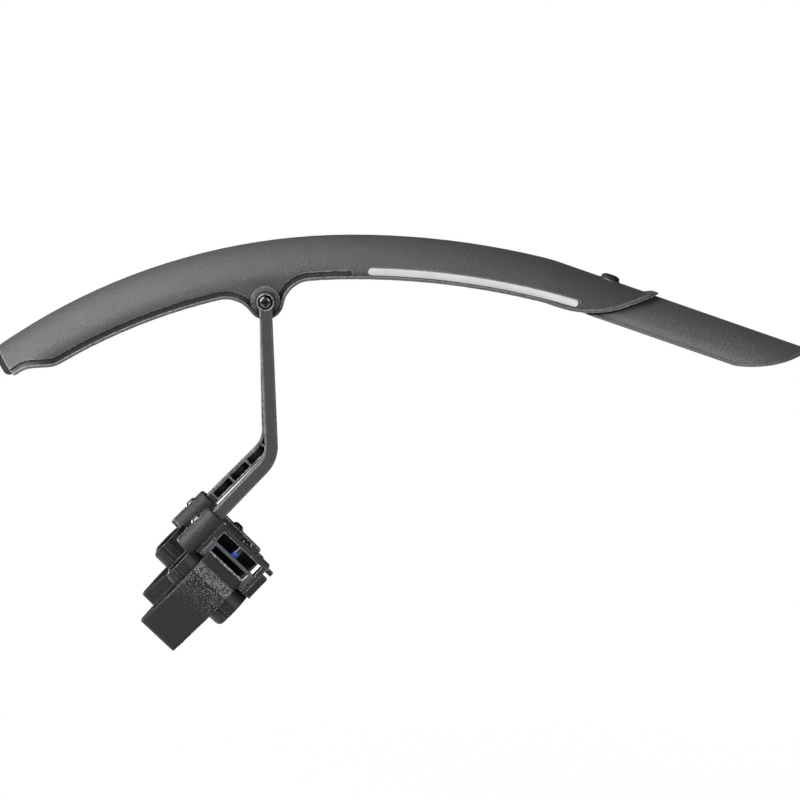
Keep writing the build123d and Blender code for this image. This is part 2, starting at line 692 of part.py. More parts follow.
def make_strap(tip):
    front = RING_MIDDLE + ROLL_RADIUS
    back = RING_MIDDLE - ROLL_RADIUS
    flap = Line((STRAP_FLAP, STRAP_FRONT + STRAP_THICKNESS + STRAP_SLACK), (RING_LOWER, front))
    roll = ThreePointArc((RING_LOWER, front), (RING_LOWER - ROLL_RADIUS, RING_MIDDLE), (RING_LOWER, back))
    half = STRAP_THICKNESS / 2
    anchor = -PLATE_BACK - half
    loop = FilletPolyline(
        (RING_LOWER, back),
        (RING_LOWER + RING_BAR, back),
        (STAY_U - STAY_RADIUS / 2, STRAP_FRONT),
        (STAY_U + PAD_RADIUS, STRAP_FRONT + half),
        (tip - half, STAY_W + STRAP_FOLD),
        (tip - half, STAY_W - STRAP_FOLD),
        (STAY_U + PAD_RADIUS, STRAP_BACK),
        (STAY_U - STAY_RADIUS, STRAP_BACK),
        (WINDOW_START * 2, anchor),
        (TOOTH_START, anchor),
        radius=list(STRAP_BENDS),
    )
    ribbon = trace(loop, STRAP_THICKNESS) + trace(roll, STRAP_THICKNESS) + trace(flap, STRAP_THICKNESS)
    return along_v(ribbon, STRAP_START, STRAP_WIDTH)


# Everything in its place

def set_down(shape):
    """Moves a shape from the pivot's own axes to the frame."""
    return Pos(PIVOT_X, 0, PIVOT_Z) * shape


def swung(shape, swing):
    """Turns a strut and what it carries about the pivot axis, with the lower end to the rear."""
    return set_down(Rot(0, -swing, 0) * shape)


nodes = {
    "main_guard": set_down(make_main_guard()),
    "tail_guard": set_down(make_tail_guard()),
    "tail_knob": set_down(make_tail_knob()),
    "tail_nut": set_down(make_tail_nut()),
    "front_bumper": set_down(make_front_bumper()),
}

fixed_pairs = {
    "reflector": make_reflector(),
    "pivot_screw": make_pivot_screw(),
    "pivot_nut": make_pivot_nut(),
}
for name, piece in fixed_pairs.items():
    nodes["near_" + name] = set_down(piece)
    nodes["far_" + name] = set_down(mirror(piece, Plane.XZ))

carrier = bracket_plane()


def bracket_pieces(slide, pad_start, strap_tip):
    """A bracket and what it carries, on the near side, moved along the strut by a slide."""
    pieces = {
        "bracket": make_bracket(pad_start),
        "set_screw": make_set_screw(),
        "clamp_screw": make_clamp_screw(),
        "pad": make_pad(pad_start),
        "buckle": make_buckle(),
        "strap": make_strap(strap_tip),
    }
    return {name: carrier * Pos(slide, 0, 0) * piece for name, piece in pieces.items()}


strut = make_strut()
nodes["near_strut"] = swung(strut, NEAR_SWING)
nodes["far_strut"] = swung(mirror(strut, Plane.XZ), FAR_SWING)
for name, piece in bracket_pieces(NEAR_SLIDE, NEAR_PAD_START, NEAR_STRAP_TIP).items():
    nodes["near_" + name] = swung(piece, NEAR_SWING)
for name, piece in bracket_pieces(FAR_SLIDE, FAR_PAD_START, FAR_STRAP_TIP).items():
    nodes["far_" + name] = swung(mirror(piece, Plane.XZ), FAR_SWING)

os.makedirs("parts", exist_ok=True)
for name, piece in nodes.items():
    export_step(piece, f"parts/{name}.step")
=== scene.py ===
# %% [markdown]
# A clip-on rear mudguard for a bicycle, dressed in Blender.
# The solids come from the CAD frame, already in place and in metres. Blender never moves them: it gives them
# their finish, rebuilds the soft straps as cloth, and lights the whole part like a catalogue photograph.

import random
from math import cos, radians, sin, tan

import bpy
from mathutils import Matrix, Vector


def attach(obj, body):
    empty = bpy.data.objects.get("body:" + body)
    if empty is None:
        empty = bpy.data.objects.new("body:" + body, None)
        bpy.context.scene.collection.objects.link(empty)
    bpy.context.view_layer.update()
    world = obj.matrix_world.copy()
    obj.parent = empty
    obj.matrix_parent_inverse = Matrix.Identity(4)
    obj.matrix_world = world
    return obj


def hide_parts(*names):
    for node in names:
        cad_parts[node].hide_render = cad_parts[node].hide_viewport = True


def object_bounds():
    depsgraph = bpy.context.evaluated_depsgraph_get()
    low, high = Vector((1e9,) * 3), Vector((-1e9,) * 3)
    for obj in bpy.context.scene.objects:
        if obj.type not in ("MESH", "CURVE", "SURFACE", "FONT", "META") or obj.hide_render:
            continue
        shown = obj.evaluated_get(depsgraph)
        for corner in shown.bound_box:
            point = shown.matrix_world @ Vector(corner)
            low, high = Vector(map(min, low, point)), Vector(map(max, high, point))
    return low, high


MM = 0.001
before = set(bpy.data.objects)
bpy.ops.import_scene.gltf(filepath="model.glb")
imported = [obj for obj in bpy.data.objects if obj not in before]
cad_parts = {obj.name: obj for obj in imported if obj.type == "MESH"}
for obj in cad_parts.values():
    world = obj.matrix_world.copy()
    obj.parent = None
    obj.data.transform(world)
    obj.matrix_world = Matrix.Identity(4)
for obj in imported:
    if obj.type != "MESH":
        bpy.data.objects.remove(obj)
cad_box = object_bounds()
print("CAD nodes:", len(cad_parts), "box:", cad_box)

# %% [markdown]
# The picture was taken almost square-on to the near side, from a little above and with a long lens. A long lens
# far away keeps the blade's two edges nearly parallel, so the camera stands over two metres off.

# %% Camera
CAMERA_TARGET = Vector((-1.35, 0.0, 22.1)) * MM
CAMERA_AZIMUTH = radians(-2.0)
CAMERA_ELEVATION = radians(6.6)
CAMERA_DISTANCE = 2.2
SENSOR_WIDTH = 36.0
VIEW_WIDTH = 0.456

camera_data = bpy.data.cameras.new("camera")
camera_data.sensor_width = SENSOR_WIDTH
camera_data.lens = SENSOR_WIDTH * CAMERA_DISTANCE / VIEW_WIDTH
camera = bpy.data.objects.new("camera", camera_data)
bpy.context.scene.collection.objects.link(camera)
camera_back = Vector((
    sin(CAMERA_AZIMUTH) * cos(CAMERA_ELEVATION),
    -cos(CAMERA_AZIMUTH) * cos(CAMERA_ELEVATION),
    sin(CAMERA_ELEVATION),
))
camera.location = CAMERA_TARGET + camera_back * CAMERA_DISTANCE
camera.rotation_euler = camera_back.to_track_quat("Z", "Y").to_euler()
bpy.context.scene.camera = camera
bpy.context.scene.view_settings.view_transform = "Standard"
print("Lens:", round(camera_data.lens, 1), "mm")

# %% [markdown]
# Small helpers for shader nodes keep the material cells short. `add` makes a node, sets plain values on its sockets
# and links the rest, so that each material reads as a list of what feeds what.

# %% Node helpers
def add(tree, kind, settings=None, **sockets):
    """Adds a node. Underscores in a socket's name stand for spaces, and value_at_N picks the socket at place N."""
    node = tree.nodes.new(kind)
    for key, value in (settings or {}).items():
        setattr(node, key, value)
    for key, value in sockets.items():
        socket = find_socket(node, key)
        if isinstance(value, bpy.types.NodeSocket):
            tree.links.new(value, socket)
        else:
            socket.default_value = value
    return node


def find_socket(node, key):
    name = key.replace("_", " ")
    if key[-1].isdigit() and key[:-1].endswith("_at_"):
        return node.inputs[int(key[-1])]
    return node.inputs[name]


def math(tree, operation, first, second=0.0):
    return add(tree, "ShaderNodeMath", {"operation": operation}, value_at_0=first, value_at_1=second).outputs[0]


def spread(tree, value, low, high, new_low=0.0, new_high=1.0):
    """Maps a value from one range to another, held at its ends."""
    node = add(tree, "ShaderNodeMapRange", {"clamp": True}, Value=value, From_Min=low, From_Max=high,
               To_Min=new_low, To_Max=new_high)
    return node.outputs[0]


def mix_colour(tree, factor, first, second, blend="MIX"):
    node = tree.nodes.new("ShaderNodeMix")
    node.data_type = "RGBA"
    node.blend_type = blend
    for index, value in ((0, factor), (6, first), (7, second)):
        if isinstance(value, bpy.types.NodeSocket):
            tree.links.new(value, node.inputs[index])
        else:
            node.inputs[index].default_value = value
    return node.outputs[2]


def new_group(name, inputs, outputs):
    """An empty shader group with float inputs and outputs of given kinds."""
    group = bpy.data.node_groups.new(name, "ShaderNodeTree")
    for label, value in inputs.items():
        group.interface.new_socket(label, in_out="INPUT", socket_type="NodeSocketFloat").default_value = value
    for label, kind in outputs.items():
        group.interface.new_socket(label, in_out="OUTPUT", socket_type=kind)
    return group, group.nodes.new("NodeGroupInput"), group.nodes.new("NodeGroupOutput")


def place_group(tree, group, **values):
    node = tree.nodes.new("ShaderNodeGroup")
    node.node_tree = group
    for key, value in values.items():
        node.inputs[key.replace("_", " ")].default_value = value
    return node


NEUTRAL = (1.0, 1.0, 1.0)
COOL = (0.98, 1.0, 1.02)
BLUISH = (0.92, 1.0, 1.1)
VIOLET = (1.0, 0.97, 1.2)


def grey(level, tint=NEUTRAL):
    """A linear colour from a screen level of 0 to 255 and a slight tint."""
    linear = (level / 255.0) ** 2.2
    return tuple(linear * share for share in tint) + (1.0,)


print("Helpers ready")

# %% [markdown]
# The studio has five soft lamps. A broad one at the front left makes the sheen on the blade, one high at the left
# lights the top of the front end, and a weaker one at the front right lights the tail. Two stand low behind the part:
# they show the far side and draw thin light edges, but never reach the crown, so it keeps its dark upper edge. The
# white that the camera sees behind the part comes from Light Path, so it adds little light.

# %% Studio
LAMPS = {
    "key_lamp": {"left": 69, "up": 34, "away": 1.9, "size": 2.1, "power": 128},
    "top_lamp": {"left": 85, "up": 64, "away": 1.8, "size": 1.0, "power": 18},
    "fill_lamp": {"left": -28, "up": 14, "away": 2.0, "size": 1.2, "power": 26},
    "back_left_lamp": {"left": 145, "up": -8, "away": 1.6, "size": 0.5, "power": 13},
    "back_right_lamp": {"left": -150, "up": -8, "away": 1.6, "size": 0.5, "power": 5},
}
AMBIENT = 0.07
MIRRORED_WHITE = 0.03


def soft_lamp(name, left, up, away, size, power):
    """A square lamp that faces the part: degrees to the left of the camera and up, and metres away."""
    data = bpy.data.lights.new(name, "AREA")
    data.size = size
    data.energy = power
    lamp = bpy.data.objects.new(name, data)
    side, height = radians(left), radians(up)
    out = Vector((-sin(side) * cos(height), -cos(side) * cos(height), sin(height)))
    lamp.location = CAMERA_TARGET + out * away
    lamp.rotation_euler = out.to_track_quat("Z", "Y").to_euler()
    lamp.visible_camera = False
    bpy.context.scene.collection.objects.link(lamp)


def seen_directly(tree):
    """One for rays straight from the camera or passed through, and a small share for mirrored ones."""
    path = tree.nodes.new("ShaderNodeLightPath")
    glossy = math(tree, "MULTIPLY", path.outputs["Is Glossy Ray"], MIRRORED_WHITE)
    mirrored = math(tree, "MAXIMUM", path.outputs["Is Camera Ray"], glossy)
    return math(tree, "MAXIMUM", mirrored, path.outputs["Is Transmission Ray"])


for name, facts in LAMPS.items():
    soft_lamp(name, **facts)

world = bpy.data.worlds.new("studio")
world.use_nodes = True
bpy.context.scene.world = world
sky = world.node_tree
sky.nodes.clear()
white = add(sky, "ShaderNodeBackground", Color=(1, 1, 1, 1), Strength=1.0)
ambient = add(sky, "ShaderNodeBackground", Color=(1, 1, 1, 1), Strength=AMBIENT)
sky_mix = add(sky, "ShaderNodeMixShader", value_at_0=seen_directly(sky))
sky.links.new(ambient.outputs[0], sky_mix.inputs[1])
sky.links.new(white.outputs[0], sky_mix.inputs[2])
sky_out = sky.nodes.new("ShaderNodeOutputWorld")
sky.links.new(sky_mix.outputs[0], sky_out.inputs[0])

# %% [markdown]
# A paper floor lies well below the part, as the real one hangs on a bicycle. Close by it keeps some of its own
# shading, so the part's soft shadow falls on it, and further off it fades to the white of the background.

# %% Floor
FLOOR_SIZE = 30.0
FLOOR_DROP = 0.3
FLOOR_GREY = 0.6
FLOOR_WHITE = (0.9, 1.0)
FLOOR_FADE = (0.3, 1.4)

floor_mesh = bpy.data.meshes.new("floor")
floor_z = cad_box[0][2] - FLOOR_DROP
half_floor = FLOOR_SIZE / 2
floor_corners = [(-half_floor, -half_floor, floor_z), (half_floor, -half_floor, floor_z),
                 (half_floor, half_floor, floor_z), (-half_floor, half_floor, floor_z)]
floor_mesh.from_pydata(floor_corners, [], [(0, 1, 2, 3)])
floor = bpy.data.objects.new("floor", floor_mesh)
bpy.context.scene.collection.objects.link(floor)

floor_finish = bpy.data.materials.new("floor_paper")
floor_finish.use_nodes = True
paper = floor_finish.node_tree
paper.nodes.clear()
matt = add(paper, "ShaderNodeBsdfDiffuse", Color=(FLOOR_GREY, FLOOR_GREY, FLOOR_GREY, 1))
glow = add(paper, "ShaderNodeEmission", Color=(1, 1, 1, 1), Strength=1.0)
spot = paper.nodes.new("ShaderNodeNewGeometry").outputs["Position"]
off = add(paper, "ShaderNodeVectorMath", {"operation": "LENGTH"}, value_at_0=spot).outputs["Value"]
whiteness = spread(paper, off, *FLOOR_FADE, *FLOOR_WHITE)
paper_mix = add(paper, "ShaderNodeMixShader", value_at_0=math(paper, "MULTIPLY", seen_directly(paper), whiteness))
paper.links.new(matt.outputs[0], paper_mix.inputs[1])
paper.links.new(glow.outputs[0], paper_mix.inputs[2])
paper_out = paper.nodes.new("ShaderNodeOutputMaterial")
paper.links.new(paper_mix.outputs[0], paper_out.inputs[0])
floor_mesh.materials.append(floor_finish)
print("Floor at", round(floor_z, 3), "m")

# %% [markdown]
# Moulded plastic has a fine spark-eroded grain from its tool, and slow patches where it cooled unevenly. Both are
# noise at different sizes. Every plastic piece uses the same group with its own grain size.

# %% Group: moulded grain
SPECKLE_RANGE = (0.35, 0.7)
PATCH_RANGE = (0.3, 0.7)


def make_grain_group():
    group, inside, out = new_group(
        "moulded_grain",
        {"Grain Size": 0.5 * MM, "Patch Size": 30 * MM},
        {"Height": "NodeSocketFloat", "Speckle": "NodeSocketFloat", "Patch": "NodeSocketFloat"},
    )
    place = group.nodes.new("ShaderNodeTexCoord").outputs["Object"]
    fine_scale = math(group, "DIVIDE", 1.0, inside.outputs["Grain Size"])
    slow_scale = math(group, "DIVIDE", 1.0, inside.outputs["Patch Size"])
    fine = add(group, "ShaderNodeTexNoise", Vector=place, Scale=fine_scale, Detail=2.0, Roughness=0.6)
    slow = add(group, "ShaderNodeTexNoise", Vector=place, Scale=slow_scale, Detail=3.0, Roughness=0.5)
    group.links.new(fine.outputs["Fac"], out.inputs["Height"])
    group.links.new(spread(group, fine.outputs["Fac"], *SPECKLE_RANGE), out.inputs["Speckle"])
    group.links.new(spread(group, slow.outputs["Fac"], *PATCH_RANGE), out.inputs["Patch"])
    return group


MOULDED_GRAIN = make_grain_group()
print("Group:", MOULDED_GRAIN.name)

# %% [markdown]
# Real edges are never perfectly sharp. The Bevel node bends the normal near an edge, which gives each solid a thin
# highlight, and the angle between the bent and the plain normal is a mask for paler edges: partly rubbed wear, partly
# a painted highlight.

# %% Group: soft edges
BEVEL_SAMPLES = 6
BENT_RANGE = (0.995, 0.8)
SHEEN_AND_WEAR_RANGE = (0.3, 0.65)


def make_edge_group():
    group, inside, out = new_group(
        "soft_edges",
        {"Radius": 0.4 * MM, "Wear Size": 1.5 * MM},
        {"Normal": "NodeSocketVector", "Wear": "NodeSocketFloat"},
    )
    round_normal = add(group, "ShaderNodeBevel", {"samples": BEVEL_SAMPLES}, Radius=inside.outputs["Radius"])
    plain = group.nodes.new("ShaderNodeNewGeometry").outputs["Normal"]
    aligned = add(group, "ShaderNodeVectorMath", {"operation": "DOT_PRODUCT"},
                  value_at_0=round_normal.outputs[0], value_at_1=plain)
    bent = spread(group, aligned.outputs["Value"], *BENT_RANGE)
    wear_scale = math(group, "DIVIDE", 1.0, inside.outputs["Wear Size"])
    place = group.nodes.new("ShaderNodeTexCoord").outputs["Object"]
    patches = add(group, "ShaderNodeTexNoise", Vector=place, Scale=wear_scale, Detail=3.0)
    # The Wear mask paints edges paler: partly rubbed wear, partly a painted highlight.
    broken = math(group, "MULTIPLY", bent, spread(group, patches.outputs["Fac"], *SHEEN_AND_WEAR_RANGE))
    group.links.new(round_normal.outputs[0], out.inputs["Normal"])
    group.links.new(broken, out.inputs["Wear"])
    return group


SOFT_EDGES = make_edge_group()
print("Group:", SOFT_EDGES.name)

# %% [markdown]
# Deep pockets, such as those between a strut's ribs, look almost black because little light finds its way in. The
# Ambient Occlusion node measures how shut in a point is, and the group turns that into a mask with which the plastics
# paint that shade into their colour.

# %% Group: hollows
# DEEP paints near-black shade into pockets such as those between a strut's ribs. SHALLOW paints lighter shade into
# creases, such as the one above the blade's lip and the strip on the tail beside the blade's rear end.
DEEP = {"Reach": 6 * MM, "Open": 0.75, "Shut": 0.3}
SHALLOW = {"Reach": 6 * MM, "Open": 0.93, "Shut": 0.5}
HOLLOW_SAMPLES = 8


def make_hollow_group():
    group, inside, out = new_group("hollows", DEEP, {"Closed": "NodeSocketFloat"})
    shade = add(group, "ShaderNodeAmbientOcclusion", {"samples": HOLLOW_SAMPLES}, Distance=inside.outputs["Reach"])
    hollow_shade = spread(group, shade.outputs["AO"], inside.outputs["Open"], inside.outputs["Shut"])
    group.links.new(hollow_shade, out.inputs["Closed"])
    return group


HOLLOWS = make_hollow_group()
print("Group:", HOLLOWS.name)

# %% [markdown]
# All the plastics share one recipe: a dark colour with paler patches, edges painted paler as wear and as a highlight,
# shade painted into hollows, a roughness that follows the grain, and a bump from the grain over the softened edges.
# Only the numbers differ from piece to piece.

# %% Plastic recipe
SPECKLE_SHARE = 0.7
SPECKLE_LIFT = 1.6
HOLLOW_SHADE_SHARE = 0.25


def start_material(name):
    material = bpy.data.materials.new(name)
    material.use_nodes = True
    tree = material.node_tree
    tree.nodes.clear()
    shader = tree.nodes.new("ShaderNodeBsdfPrincipled")
    out = tree.nodes.new("ShaderNodeOutputMaterial")
    tree.links.new(shader.outputs[0], out.inputs[0])
    return material, tree, shader


def plastic(name, dark, pale, edge, rough, grain_size, grain_height, edge_radius,
            specular=0.5, tint=COOL, hollow=DEEP):
    """A grained plastic: screen levels of its dark and pale patches and of its edges, which are painted pale as wear
    and as a highlight, and its two roughnesses.
    """
    material, tree, shader = start_material(name)
    grain = place_group(tree, MOULDED_GRAIN, Grain_Size=grain_size * MM)
    edges = place_group(tree, SOFT_EDGES, Radius=edge_radius * MM)
    body = mix_colour(tree, grain.outputs["Patch"], grey(dark, tint), grey(pale, tint))
    speckle = math(tree, "MULTIPLY", grain.outputs["Speckle"], SPECKLE_SHARE)
    speckled = mix_colour(tree, speckle, body, grey(pale * SPECKLE_LIFT, tint))
    # Painted highlight and wear: the Wear mask pales the edges.
    highlit_and_worn = mix_colour(tree, edges.outputs["Wear"], speckled, grey(edge, tint))
    # Painted shade: hollows are darkened in the colour, because little light reaches them.
    hollow_shade = place_group(tree, HOLLOWS, **hollow).outputs["Closed"]
    tree.links.new(mix_colour(tree, hollow_shade, highlit_and_worn, grey(dark * HOLLOW_SHADE_SHARE, tint)), shader.inputs["Base Color"])
    rough_grain = spread(tree, grain.outputs["Speckle"], 0.0, 1.0, rough[1], rough[0])
    tree.links.new(math(tree, "MAXIMUM", rough_grain, hollow_shade), shader.inputs["Roughness"])
    bump = add(tree, "ShaderNodeBump", Strength=1.0, Distance=grain_height * MM, Height=grain.outputs["Height"],
               Normal=edges.outputs["Normal"])
    tree.links.new(bump.outputs[0], shader.inputs["Normal"])
    shader.inputs["Specular IOR Level"].default_value = specular
    return material


# The edge levels paint highlights as well as wear: the blade's brightens its lip, and the strut's, bracket's, buckle's
# and pad's draw thin light lines. SHALLOW paints shade into the creases of the blade and the tail.
BLADE_PLASTIC = plastic("blade_plastic", dark=31, pale=37, edge=150, rough=(0.48, 0.60),
                        grain_size=0.65, grain_height=0.5, edge_radius=1.6, hollow=SHALLOW)
TAIL_PLASTIC = plastic("tail_plastic", dark=34, pale=40, edge=140, rough=(0.42, 0.54),
                       grain_size=0.65, grain_height=0.4, edge_radius=0.35, specular=1.0, tint=NEUTRAL, hollow=SHALLOW)
STRUT_PLASTIC = plastic("strut_plastic", dark=26, pale=31, edge=200, rough=(0.40, 0.50),
                        grain_size=0.65, grain_height=0.16, edge_radius=1.5)
BRACKET_PLASTIC = plastic("bracket_plastic", dark=10, pale=14, edge=230, rough=(0.34, 0.48),
                          grain_size=0.8, grain_height=0.5, edge_radius=0.6, specular=0.35)
KNOB_PLASTIC = plastic("knob_plastic", dark=14, pale=18, edge=32, rough=(0.5, 0.65),
                       grain_size=0.65, grain_height=0.14, edge_radius=0.3, specular=0.25)
BUCKLE_PLASTIC = plastic("buckle_plastic", dark=36, pale=42, edge=240, rough=(0.34, 0.46),
                         grain_size=0.5, grain_height=0.04, edge_radius=0.5, tint=VIOLET)
PAD_RUBBER = plastic("pad_rubber", dark=14, pale=19, edge=130, rough=(0.36, 0.50),
                     grain_size=0.6, grain_height=0.06, edge_radius=0.6, specular=0.25, tint=BLUISH)
BUMPER_RUBBER = plastic("bumper_rubber", dark=8, pale=10, edge=20, rough=(0.55, 0.7),
                        grain_size=0.6, grain_height=0.06, edge_radius=0.5, specular=0.15)
print("Plastics ready")

# %% [markdown]
# The screws are black-coated steel with a hard gloss, and the hidden nuts are bright zinc. Their cross recesses and
# domes come from the solids, so the finish only needs fine marks and paler edges, partly rubbed wear and partly a
# painted highlight.

# %% Screws and nuts
METAL_PATCH = 4 * MM
METAL_EDGE = 0.45 * MM
METAL_SHEEN_AND_WEAR_SIZE = 0.8 * MM
MARK_HEIGHT = 0.02 * MM
MARK_STRENGTH = 0.5


def coated_metal(name, dark, pale, edge, rough, metallic, mark_size, ior=1.5):
    material, tree, shader = start_material(name)
    marks = place_group(tree, MOULDED_GRAIN, Grain_Size=mark_size * MM, Patch_Size=METAL_PATCH)
    edges = place_group(tree, SOFT_EDGES, Radius=METAL_EDGE, Wear_Size=METAL_SHEEN_AND_WEAR_SIZE)
    body = mix_colour(tree, marks.outputs["Patch"], grey(dark), grey(pale))
    # Painted highlight and wear: the Wear mask pales the edges.
    highlit_and_worn = mix_colour(tree, edges.outputs["Wear"], body, grey(edge))
    tree.links.new(highlit_and_worn, shader.inputs["Base Color"])
    tree.links.new(spread(tree, marks.outputs["Speckle"], 0, 1, rough[0], rough[1]), shader.inputs["Roughness"])
    bump = add(tree, "ShaderNodeBump", Strength=MARK_STRENGTH, Distance=MARK_HEIGHT, Height=marks.outputs["Height"],
               Normal=edges.outputs["Normal"])
    tree.links.new(bump.outputs[0], shader.inputs["Normal"])
    shader.inputs["Metallic"].default_value = metallic
    shader.inputs["IOR"].default_value = ior
    return material


SCREW_STEEL = coated_metal("black_screw_steel", dark=10, pale=14, edge=60, rough=(0.10, 0.18),
                           metallic=0.0, mark_size=0.3, ior=1.8)
NUT_STEEL = coated_metal("zinc_nut_steel", dark=165, pale=190, edge=205, rough=(0.22, 0.38),
                         metallic=1.0, mark_size=0.25)
print("Metals ready")

# %% [markdown]
# The reflective strip is a pale film of tiny prisms under a clear skin. A fine diamond lattice in its colour and
# bump gives it that look, and a thin coat gives the skin its gloss.

# %% Reflective strip
LATTICE_PITCH = 0.8 * MM
LATTICE_TURN = radians(45)
LATTICE_RANGE = (0.2, 0.55)
FACET_GREYS = (158, 143)
FILM_PATCH_GREY = 168
FILM_PATCH_SHARE = 0.5
FILM_ROUGHNESS = (0.28, 0.42)
FILM_HEIGHT = 0.03 * MM
FILM_STRENGTH = 0.4
FILM_COAT = 0.1
FILM_COAT_ROUGHNESS = 0.15


def reflective_film():
    material, tree, shader = start_material("reflective_film")
    place = tree.nodes.new("ShaderNodeTexCoord").outputs["Object"]
    turned = add(tree, "ShaderNodeMapping", Vector=place)
    turned.inputs["Rotation"].default_value = (0, LATTICE_TURN, 0)
    cells = add(tree, "ShaderNodeTexVoronoi", {"distance": "CHEBYCHEV"}, Vector=turned.outputs[0],
                Scale=1 / LATTICE_PITCH, Randomness=0.0)
    grain = place_group(tree, MOULDED_GRAIN, Grain_Size=0.3 * MM, Patch_Size=12 * MM)
    edges = place_group(tree, SOFT_EDGES, Radius=0.25 * MM)
    lattice = spread(tree, cells.outputs["Distance"], *LATTICE_RANGE)
    facets = mix_colour(tree, lattice, grey(FACET_GREYS[0], COOL), grey(FACET_GREYS[1], COOL))
    patch = math(tree, "MULTIPLY", grain.outputs["Patch"], FILM_PATCH_SHARE)
    body = mix_colour(tree, patch, facets, grey(FILM_PATCH_GREY, COOL))
    tree.links.new(body, shader.inputs["Base Color"])
    tree.links.new(spread(tree, grain.outputs["Speckle"], 0, 1, *FILM_ROUGHNESS), shader.inputs["Roughness"])
    bump = add(tree, "ShaderNodeBump", Strength=FILM_STRENGTH, Distance=FILM_HEIGHT, Height=lattice,
               Normal=edges.outputs["Normal"])
    tree.links.new(bump.outputs[0], shader.inputs["Normal"])
    shader.inputs["Coat Weight"].default_value = FILM_COAT
    shader.inputs["Coat Roughness"].default_value = FILM_COAT_ROUGHNESS
    return material


REFLECTIVE_FILM = reflective_film()
print("Reflective film ready")

# %% [markdown]
# Each solid takes the finish of its own kind. The normals that came with the frame are exact, so curved faces are
# already smooth and flat ones stay flat.

# %% Dress the solids
FINISHES = {
    "main_guard": BLADE_PLASTIC,
    "tail_guard": TAIL_PLASTIC,
    "tail_knob": KNOB_PLASTIC,
    "tail_nut": NUT_STEEL,
    "front_bumper": BUMPER_RUBBER,
    "reflector": REFLECTIVE_FILM,
    "pivot_screw": SCREW_STEEL,
    "pivot_nut": NUT_STEEL,
    "strut": STRUT_PLASTIC,
    "bracket": BRACKET_PLASTIC,
    "set_screw": SCREW_STEEL,
    "clamp_screw": SCREW_STEEL,
    "buckle": BUCKLE_PLASTIC,
    "pad": PAD_RUBBER,
}


def kind_of(node):
    return node.removeprefix("near_").removeprefix("far_")


for node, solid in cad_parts.items():
    if kind_of(node) in FINISHES:
        solid.data.materials.clear()
        solid.data.materials.append(FINISHES[kind_of(node)])
print("Solids dressed:", sum(kind_of(n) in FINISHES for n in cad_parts))

# %% [markdown]
# The straps, buckles and screws of a side all sit in the bracket's own axes: u along the strut's end, v along the
# seat stay and w outwards. This cell turns such a place into the frame, for either side, as the part's source does.

# %% Places on a bracket
PIVOT = (-77.8, 81.6)
STRUT_DROP = 88.0
STRUT_LEG = 44.5
STRUT_TURN = radians(46.0)
STRUT_MID = 34.6
SIDES = {
    "near": {"out": -1, "swing": radians(2.2), "slide": 0.0, "strap_tip": 74.2},
    "far": {"out": 1, "swing": radians(0.8), "slide": 2.2, "strap_tip": 67.0},
}


def bracket_place(side, u, v, w):
    """A point given in a bracket's axes, in millimetres, as a point of the frame in metres."""
    facts = SIDES[side]
    along = STRUT_LEG + facts["slide"] + u
    x = -along * sin(STRUT_TURN) + v * cos(STRUT_TURN)
    z = -STRUT_DROP - along * cos(STRUT_TURN) - v * sin(STRUT_TURN)
    swung_x = x * cos(facts["swing"]) - z * sin(facts["swing"])
    swung_z = z * cos(facts["swing"]) + x * sin(facts["swing"])
    return Vector((PIVOT[0] + swung_x, facts["out"] * (STRUT_MID + w), PIVOT[1] + swung_z)) * MM


print("Bracket origins:", [tuple(round(c, 4) for c in bracket_place(s, 0, 0, 0)) for s in SIDES])

# %% [markdown]
# The tip of each clamp screw carries a dab of blue thread lock, the dry patch that stops it from working loose. It is
# a mask on the screw's own finish: everything within a few millimetres of the tip, with a broken edge.

# %% Thread lock
LOCK_REACH = (3.0, 4.6)
LOCK_ROUGHNESS = (0.1, 0.6)
LOCK_IOR = 1.5
LOCK_BLUE = (0.005, 0.042, 0.26, 1.0)
CLAMP_SCREW_TIP = (11.0, 22.8, 1.0)


def locked_screw(side):
    material = SCREW_STEEL.copy()
    material.name = side + "_locked_screw"
    tree = material.node_tree
    shader = tree.nodes["Principled BSDF"]
    place = tree.nodes.new("ShaderNodeTexCoord").outputs["Object"]
    tip = bracket_place(side, *CLAMP_SCREW_TIP)
    gap = add(tree, "ShaderNodeVectorMath", {"operation": "DISTANCE"}, value_at_0=place, value_at_1=tip)
    smear = add(tree, "ShaderNodeTexNoise", Vector=place, Scale=1 / MM, Detail=2.0)
    reach = spread(tree, smear.outputs["Fac"], *PATCH_RANGE, LOCK_REACH[0] * MM, LOCK_REACH[1] * MM)
    lock = math(tree, "LESS_THAN", gap.outputs["Value"], reach)
    steel = shader.inputs["Base Color"].links[0].from_socket
    tree.links.new(mix_colour(tree, lock, steel, LOCK_BLUE), shader.inputs["Base Color"])
    tree.links.new(spread(tree, lock, 0, 1, *LOCK_ROUGHNESS), shader.inputs["Roughness"])
    shader.inputs["IOR"].default_value = LOCK_IOR
    return material


for side in SIDES:
    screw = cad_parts[side + "_clamp_screw"]
    screw.data.materials[0] = locked_screw(side)
print("Thread lock on", len(SIDES), "screws")

# %% [markdown]
# A hook-and-loop strap is one long ribbon. It starts as a short flap on the front, rolls round the buckle's lower bar,
# runs round the stay as an open loop with a fold at its far end, and comes back behind the bracket. The ribbon is
# drawn as one path in u and w with rounded corners, then given width and thickness.

# %% Strap path
STRAP_WIDTH = 24.4
STRAP_START = 10.8
STRAP_THICKNESS = 1.5
PATH_STEP = 0.7
STAY_SIDE = 45.9
STRAP_BACK = -18.4
STRAP_FOLD = (-1.5, -8.5)


